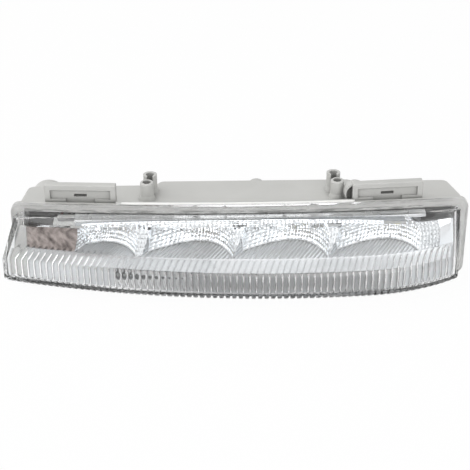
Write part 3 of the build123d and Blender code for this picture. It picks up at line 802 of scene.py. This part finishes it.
def blend(tree, share, a, b):
    """Colour a where share is 0 and b where it is 1."""
    n = tree.nodes.new("ShaderNodeMix")
    n.data_type = "RGBA"
    for socket, given in zip((0, 6, 7), (share, a, b)):
        feed(tree, n.inputs[socket], given)
    return n.outputs[2]


def split(tree, vector):
    """The X, Y and Z of a vector."""
    n = tree.nodes.new("ShaderNodeSeparateXYZ")
    tree.links.new(vector, n.inputs[0])
    return n.outputs


def marked(tree):
    """The mark that a piece's vertices carry."""
    n = tree.nodes.new("ShaderNodeAttribute")
    n.attribute_name = "mark"
    return n.outputs["Fac"]


def relief(tree, shader, height, strength, depth):
    n = tree.nodes.new("ShaderNodeBump")
    n.inputs["Strength"].default_value = strength
    n.inputs["Distance"].default_value = depth
    tree.links.new(height, n.inputs["Height"])
    tree.links.new(n.outputs["Normal"], shader.inputs["Normal"])
    return n


def finish(name, dark, light, patch, rough, grain, depth, strength=0.4, **sockets):
    """Surface with a cloudy colour, uneven gloss and a fine grain."""
    m, tree, shader, place = material(name)
    cloud = noise(tree, place, patch)
    tree.links.new(tint(tree, cloud, dark, light), shader.inputs["Base Color"])
    tree.links.new(spread(tree, cloud, *rough), shader.inputs["Roughness"])
    relief(tree, shader, noise(tree, place, grain, 3.0, 0.6), strength, depth)
    for socket, value in sockets.items():
        shader.inputs[socket.replace("_", " ")].default_value = value
    return m


finishes = {
    "sealant": finish("sealant", (0.92, 0.92, 0.9), (0.96, 0.96, 0.94), 300, (0.3, 0.45), 1500, 0.00004),
    "carrier_black": finish(
        "carrier_black", (0.012, 0.012, 0.013), (0.022, 0.022, 0.024), 120, (0.4, 0.55), 2600, 0.00008
    ),
    "aluminium": finish(
        "aluminium", (0.8, 0.81, 0.82), (0.9, 0.905, 0.91), 70, (0.2, 0.34), 1800, 0.00004, 0.3, Metallic=1.0
    ),
    "tape": finish("tape", (0.42, 0.44, 0.46), (0.5, 0.52, 0.54), 200, (0.6, 0.75), 1600, 0.00006),
    "board_white": finish(
        "board_white", (0.74, 0.74, 0.72), (0.8, 0.8, 0.78), 150, (0.3, 0.42), 1400, 0.00004
    ),
    "led": finish("led", (0.8, 0.74, 0.46), (0.86, 0.8, 0.54), 400, (0.25, 0.35), 2000, 0.00003),
    "board_green": finish(
        "board_green", (0.012, 0.1, 0.04), (0.02, 0.14, 0.06), 180, (0.28, 0.4), 1200, 0.00005
    ),
    "chip_black": finish(
        "chip_black", (0.012, 0.012, 0.012), (0.022, 0.022, 0.022), 300, (0.5, 0.65), 3000, 0.00005
    ),
    "ferrite": finish("ferrite", (0.03, 0.03, 0.032), (0.06, 0.06, 0.062), 250, (0.55, 0.75), 2200, 0.0001),
    "can": finish(
        "can", (0.6, 0.61, 0.62), (0.68, 0.69, 0.7), 200, (0.25, 0.35), 1800, 0.00003, Metallic=1.0
    ),
    "pin_brass": finish(
        "pin_brass", (0.66, 0.5, 0.2), (0.74, 0.58, 0.27), 300, (0.25, 0.35), 2400, 0.00003, Metallic=1.0
    ),
    "wire_red": finish("wire_red", (0.2, 0.04, 0.035), (0.24, 0.05, 0.04), 200, (0.4, 0.5), 1800, 0.00004),
    "wire_black": finish(
        "wire_black", (0.014, 0.014, 0.015), (0.022, 0.022, 0.023), 200, (0.4, 0.5), 1800, 0.00004
    ),
    "membrane": finish("membrane", (0.7, 0.7, 0.69), (0.78, 0.78, 0.77), 500, (0.7, 0.85), 3500, 0.00008),
    "screw_steel": finish(
        "screw_steel", (0.5, 0.5, 0.51), (0.58, 0.58, 0.59), 300, (0.3, 0.42), 1500, 0.00003, Metallic=1.0
    ),
}


def lens_finish():
    """Clear polycarbonate with a very slight waviness; painted shade makes it dark in the grooves between
    its flutes.
    """
    m, tree, shader, place = material("lens_clear")
    shader.inputs["Transmission Weight"].default_value = 1.0
    shader.inputs["IOR"].default_value = 1.56
    cloud = noise(tree, place, 40, 2.0)
    clear = tint(tree, cloud, (0.97, 0.98, 0.985), (0.99, 0.995, 1.0))
    # painted shade: where the lens is marked, in its flute valleys and round the flute ends, its colour is
    # nearly black
    shade = blend(tree, marked(tree), clear, (0.05, 0.05, 0.055, 1))
    tree.links.new(shade, shader.inputs["Base Color"])
    tree.links.new(spread(tree, cloud, 0.0, 0.02), shader.inputs["Roughness"])
    relief(tree, shader, noise(tree, place, 120, 2.0), 0.05, 0.0001)
    return m


def chrome_finish():
    """Bright metal coat: mirror-like on the walls, satin on the floors, duller on the plate below."""
    m, tree, shader, place = material("reflector_chrome")
    cloud = noise(tree, place, 90)
    parts = split(tree, place)
    bright = spread(tree, parts["Z"], 0.0, 1.0, (floor_z - 0.5) * mm, (floor_z - 0.1) * mm)
    for low, high, start, end in ((1.0, 0.0, -85.0, -60.0), (0.0, 1.0, 70.0, 95.0)):
        bright_end = spread(tree, parts["X"], low, high, start * mm, end * mm)
        bright = calc(tree, "MAXIMUM", bright, bright_end)

    # the facets on the front, outside the bowls, have a softer coat
    soft = marked(tree)
    bright = calc(tree, "SUBTRACT", bright, calc(tree, "MULTIPLY", soft, 0.8))
    dull_coat = tint(tree, cloud, (0.64, 0.66, 0.675), (0.69, 0.705, 0.72))
    bright_coat = tint(tree, cloud, (0.92, 0.94, 0.96), (0.95, 0.965, 0.98))
    tree.links.new(blend(tree, bright, dull_coat, bright_coat), shader.inputs["Base Color"])
    edge_of_floor = ((floor_z + 0.5) * mm, (floor_z + 0.7) * mm)
    satin = spread(tree, parts["Z"], 1.0, 0.0, *edge_of_floor)
    satin = calc(tree, "MAXIMUM", satin, calc(tree, "MULTIPLY", soft, 0.6))
    tree.links.new(spread(tree, satin, 0.02, 0.22, 0.0, 1.0), shader.inputs["Roughness"])
    tree.links.new(spread(tree, satin, 1.0, 0.4, 0.0, 1.0), shader.inputs["Metallic"])
    relief(tree, shader, noise(tree, place, 500, 2.0), 0.15, 0.00002)
    return m


def smear_painted_shade_and_light(tree, place):
    """Where sealant is smeared on the housing, and its colour: painted shade, dark, at the bottom, and
    painted light, white, at both ends.
    """
    parts = split(tree, place)
    off_nose = calc(tree, "SUBTRACT", parts["X"], rim_nose_x * mm)
    square = calc(tree, "MULTIPLY", off_nose, off_nose)
    bow = calc(tree, "DIVIDE", square, 2 * (rim_bow_r + flange_back) * mm)
    depth = calc(tree, "SUBTRACT", parts["Y"], bow)
    seat_y = rim_rear_y - flange_back
    on_seat = spread(tree, depth, 1.0, 0.0, (seat_y + 0.15) * mm, (seat_y + 0.4) * mm)
    # painted shade: below the lens's bottom edge the seat is nearly black, so that the bevel of the lens
    # shows a dark line
    bottom_edge = ((lens_bottom_z - 0.8) * mm, (lens_bottom_z + 0.2) * mm)
    upper = spread(tree, parts["Z"], 0.0, 1.0, *bottom_edge)
    stretch = tree.nodes.new("ShaderNodeMapping")
    stretch.inputs["Scale"].default_value = (0.12, 1.0, 1.0)
    tree.links.new(place, stretch.inputs["Vector"])
    streaks = spread(tree, noise(tree, stretch.outputs["Vector"], 700), 0.5, 0.75, 0.4, 0.6)
    # painted light: towards both ends the colour turns white
    ends_from, ends_to = 109.0 * mm, 111.0 * mm
    ends = spread(tree, calc(tree, "ABSOLUTE", off_nose, 0.0), 0.0, 1.0, ends_from, ends_to)
    value = calc(tree, "MAXIMUM", ends, calc(tree, "MULTIPLY", upper, streaks))

    # painted light: at the two ends, all of the housing's inside that faces the lens, which lies in shade,
    # is painted white
    facing = split(tree, tree.nodes.new("ShaderNodeNewGeometry").outputs["Normal"])
    inward = calc(tree, "MULTIPLY", facing["X"], calc(tree, "SIGN", off_nose, 0.0))
    turned = [spread(tree, way, 1.0, 0.0, -0.5, -0.3) for way in (inward, facing["Y"])]
    to_lens = calc(tree, "MAXIMUM", *turned)
    ahead = spread(tree, depth, 1.0, 0.0, (seat_y + 30.0) * mm, (seat_y + 31.0) * mm)
    below = spread(tree, parts["Z"], 1.0, 0.0, (lip_top_z - 4.0) * mm, (lip_top_z - 3.0) * mm)
    within = calc(tree, "MULTIPLY", ahead, below)
    painted_light_at_ends = calc(tree, "MULTIPLY", calc(tree, "MULTIPLY", ends, to_lens), within)
    colour = tint(tree, value, (0.03, 0.03, 0.032), (0.92, 0.92, 0.9))
    return calc(tree, "MAXIMUM", on_seat, painted_light_at_ends), colour


def housing_finish():
    """Pale grey moulded plastic with painted shade in its recesses, and softened edges."""
    m, tree, shader, place = material("housing_grey")
    cloud = noise(tree, place, 60)
    paint = tint(tree, cloud, (0.56, 0.56, 0.54), (0.6, 0.6, 0.58))
    # painted shade: ambient occlusion darkens the colour in recesses and crevices
    painted_recess_shade = tree.nodes.new("ShaderNodeAmbientOcclusion")
    painted_recess_shade.samples = 8
    painted_recess_shade.only_local = True
    painted_recess_shade.inputs["Distance"].default_value = 6.0 * mm
    shade = spread(tree, painted_recess_shade.outputs["AO"], 0.45, 1.0, 0.25, 0.85)
    shaded = blend(tree, shade, (0.1, 0.1, 0.095, 1), paint)
    # sealant smear, with painted shade at the bottom and painted light at both ends
    on_seat, sealant = smear_painted_shade_and_light(tree, place)
    tree.links.new(blend(tree, on_seat, shaded, sealant), shader.inputs["Base Color"])
    tree.links.new(spread(tree, cloud, 0.36, 0.46), shader.inputs["Roughness"])
    soft = tree.nodes.new("ShaderNodeBevel")
    soft.inputs["Radius"].default_value = 0.6 * mm
    grain = relief(tree, shader, noise(tree, place, 5200, 3.0, 0.6), 0.4, 0.00006)
    tree.links.new(soft.outputs["Normal"], grain.inputs["Normal"])
    return m


finishes["lens_clear"] = lens_finish()
finishes["reflector_chrome"] = chrome_finish()
finishes["housing_grey"] = housing_finish()

for part in frame["record"]["subparts"]:
    mesh = nodes[part["node"]].data
    mesh.materials.clear()
    mesh.materials.append(finishes[part["material_slot"]])
lens.data.materials.append(finishes["lens_clear"])
for piece in (reflector, rail):
    piece.data.materials.append(finishes["reflector_chrome"])
for piece in (bead, fill):
    piece.data.materials.append(finishes["sealant"])


# Floor, world, lights and camera


def plane(name, corners):
    mesh = bpy.data.meshes.new(name)
    mesh.from_pydata(corners, [], [(0, 1, 2, 3)])
    obj = bpy.data.objects.new(name, mesh)
    bpy.context.scene.collection.objects.link(obj)
    obj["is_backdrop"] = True
    return obj


def ray_level(tree, others, seen, direct):
    """A value for rays by kind: others, those in metal or through the lens, and the camera's own."""
    path = tree.nodes.new("ShaderNodeLightPath")
    shown = calc(tree, "MAXIMUM", path.outputs["Is Glossy Ray"], path.outputs["Is Transmission Ray"])
    value = others
    for kind, high in ((shown, seen), (path.outputs["Is Camera Ray"], direct)):
        level = tree.nodes.new("ShaderNodeMix")
        for socket, given in (("Factor", kind), ("A", value), ("B", high)):
            feed(tree, level.inputs[socket], given)
        value = level.outputs["Result"]
    return value, shown


def white_floor():
    """White paper: white to the camera but for a trace of shadow; through the lens and in the metal it glows
    fully at both ends, painted light that hides its shadow there, and is greyer in the middle.
    """
    m, tree, shader, place = material("white_floor")
    shader.inputs["Roughness"].default_value = 0.9
    shader.inputs["Specular IOR Level"].default_value = 0.0
    parts = split(tree, place)
    # painted light: the glow seen through the lens and in the metal is a quarter in the middle and full at
    # both ends
    left = spread(tree, parts["X"], 1.0, 0.25, -80.0 * mm, -20.0 * mm)
    right = spread(tree, parts["X"], 0.25, 1.0, 70.0 * mm, 95.0 * mm)
    level, shown = ray_level(tree, 0.0, calc(tree, "MAXIMUM", left, right), 0.97)

    # the paper ends in front of the part, in what the metal and the lens show
    room = (0.1, 0.09, 0.085, 1)
    past_paper = spread(tree, parts["Y"], 1.0, 0.0, -220.0 * mm, -160.0 * mm)
    beyond = calc(tree, "MULTIPLY", past_paper, shown)
    paper = tint(tree, noise(tree, place, 3.0), (0.88, 0.88, 0.88), (0.9, 0.9, 0.9))
    tree.links.new(blend(tree, beyond, paper, room), shader.inputs["Base Color"])
    glow = tree.nodes.new("ShaderNodeEmission")
    tree.links.new(blend(tree, beyond, (1, 1, 1, 1), room), glow.inputs["Color"])
    mix = tree.nodes.new("ShaderNodeMixShader")
    tree.links.new(level, mix.inputs[0])
    tree.links.new(shader.outputs[0], mix.inputs[1])
    tree.links.new(glow.outputs[0], mix.inputs[2])
    tree.links.new(mix.outputs[0], tree.nodes["Material Output"].inputs["Surface"])
    return m


def studio_world():
    """White light tent whose open front shows darker in the metal and through the lens."""
    world = bpy.data.worlds.new("studio")
    world.use_nodes = True
    tree = world.node_tree
    tree.nodes.clear()
    background = tree.nodes.new("ShaderNodeBackground")
    out = tree.nodes.new("ShaderNodeOutputWorld")
    tree.links.new(background.outputs[0], out.inputs[0])
    direction = tree.nodes.new("ShaderNodeTexCoord").outputs["Generated"]
    overhead = spread(tree, split(tree, direction)["Z"], 1.0, 0.95, 0.3, 0.6)
    level, shown = ray_level(tree, 0.45, overhead, 1.0)
    tree.links.new(level, background.inputs["Strength"])

    def towards(aim, start, end):
        """1 round a direction, falling to 0 away from it."""
        dot = tree.nodes.new("ShaderNodeVectorMath")
        dot.operation = "DOT_PRODUCT"
        dot.inputs[1].default_value = Vector(aim).normalized()
        tree.links.new(direction, dot.inputs[0])
        return spread(tree, dot.outputs["Value"], 0.0, 1.0, start, end)

    patches = spread(tree, noise(tree, direction, 5.0, 3.0), 0.0, 1.0, 0.51, 0.58)
    dark = calc(tree, "MULTIPLY", towards((-0.1, -0.98, 0.12), 0.45, 0.75), patches)
    dark = calc(tree, "MAXIMUM", dark, towards((-0.4, -0.9, 0.175), 0.93, 0.965))
    room = tint(tree, noise(tree, direction, 22.0, 3.0), (0.09, 0.075, 0.07), (0.62, 0.53, 0.49))
    tent = blend(tree, calc(tree, "MULTIPLY", dark, shown), (1, 1, 1, 1), room)
    tree.links.new(tent, background.inputs["Color"])
    return world


floor_half = 4.0
ground = cad_box[0][2] - 0.2 * mm
corners = [(x * floor_half, y * floor_half, ground) for x, y in ((-1, -1), (1, -1), (1, 1), (-1, 1))]
floor = plane("floor", corners)
floor.data.materials.append(white_floor())
bpy.context.scene.world = studio_world()


def lamp(name, spot, aim, size, watts):
    data = bpy.data.lights.new(name, "AREA")
    data.shape = "DISK"
    data.size = size
    data.energy = watts
    obj = bpy.data.objects.new(name, data)
    obj.location = spot
    obj.rotation_euler = (Vector(aim) - Vector(spot)).to_track_quat("-Z", "Y").to_euler()
    bpy.context.scene.collection.objects.link(obj)


lamp("key", (-0.62, -0.1, 0.82), (0, 0, -0.02), 1.9, 9.2)
lamp("fill", (0.3, -0.85, 0.4), (0, 0, -0.02), 1.1, 3.6)

# Camera as the photograph was taken; its focal length is in pixels of the photograph
photo_px = 470
focal_px = 1233.7
sensor_w = 36.0
aim = Vector((-3.98, -11.0, -25.78)) * mm
azimuth, elevation, roll = radians(-0.665), radians(29.079), radians(-0.367)
distance = 640.0 * mm
back = Vector((sin(azimuth) * cos(elevation), -cos(azimuth) * cos(elevation), sin(elevation)))
right = Vector((cos(azimuth), sin(azimuth), 0))
up = back.cross(right)
right, up = cos(roll) * right + sin(roll) * up, cos(roll) * up - sin(roll) * right
camera = bpy.data.objects.new("camera", bpy.data.cameras.new("camera"))
camera.data.sensor_width = sensor_w
camera.data.lens = focal_px / photo_px * sensor_w
turn = Matrix((right, up, back)).transposed().to_4x4()
camera.matrix_world = Matrix.Translation(aim + back * distance) @ turn
bpy.context.scene.collection.objects.link(camera)
bpy.context.scene.camera = camera

bpy.context.scene.view_settings.view_transform = "Standard"

# light goes round many times inside the lens
bounces = bpy.context.scene.cycles
bounces.max_bounces = 32
bounces.glossy_bounces = 16
bounces.transmission_bounces = 32

sizes = {"cad": cad_box, "visual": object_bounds()}
{k: [list(map(float, c)) for c in v] for k, v in sizes.items()}
